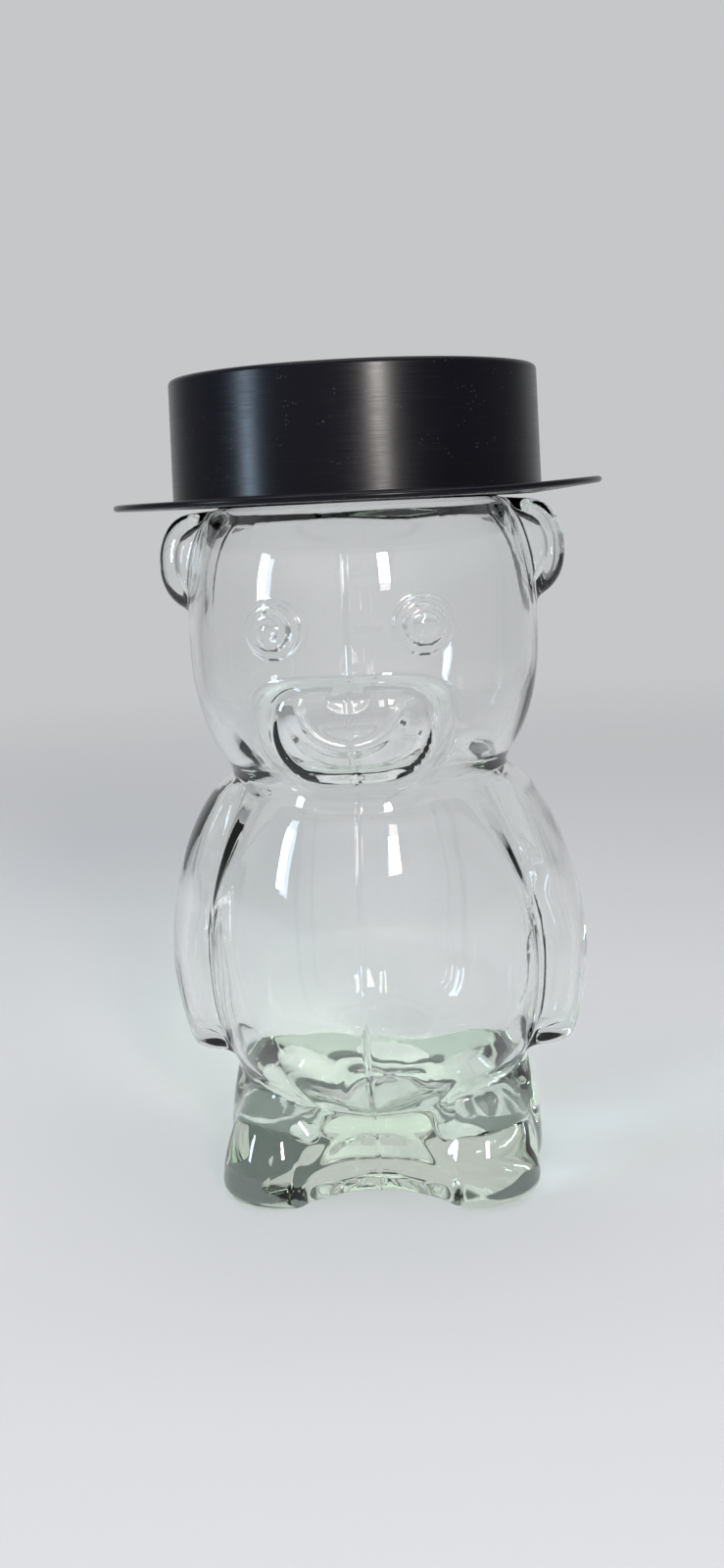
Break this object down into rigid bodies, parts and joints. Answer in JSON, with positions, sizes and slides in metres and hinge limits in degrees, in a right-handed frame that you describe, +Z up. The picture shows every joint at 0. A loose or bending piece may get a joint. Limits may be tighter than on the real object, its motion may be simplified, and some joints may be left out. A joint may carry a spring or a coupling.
{
  "type": "bear shaped glass jar with lid",
  "caption": "Clear glass storage jar in the shape of a standing bear, closed by a black plastic hat that lifts off the round neck.",
  "frame": {"origin": "on the table under the middle of the hat, at the bottom centre of the whole part", "axes": "+Z up along the axis of the neck and the hat, -Y the way the bear faces, +X towards the bear's own left arm"},
  "size_m": [0.1432, 0.1432, 0.2405],
  "materials": {
    "clear_glass": "polished, clear with a faint green tint where it is thick",
    "black_plastic": "satin"
  },
  "bodies": {
    "jar": {"bear_jar": "clear_glass"},
    "hat": {"hat_lid": "black_plastic"}
  },
  "joints": [
    {"name": "hat_lift", "type": "slide", "parent": "jar", "child": "hat", "axis": [0, 0, 1], "range_m": [0, 0.08]}
  ]
}
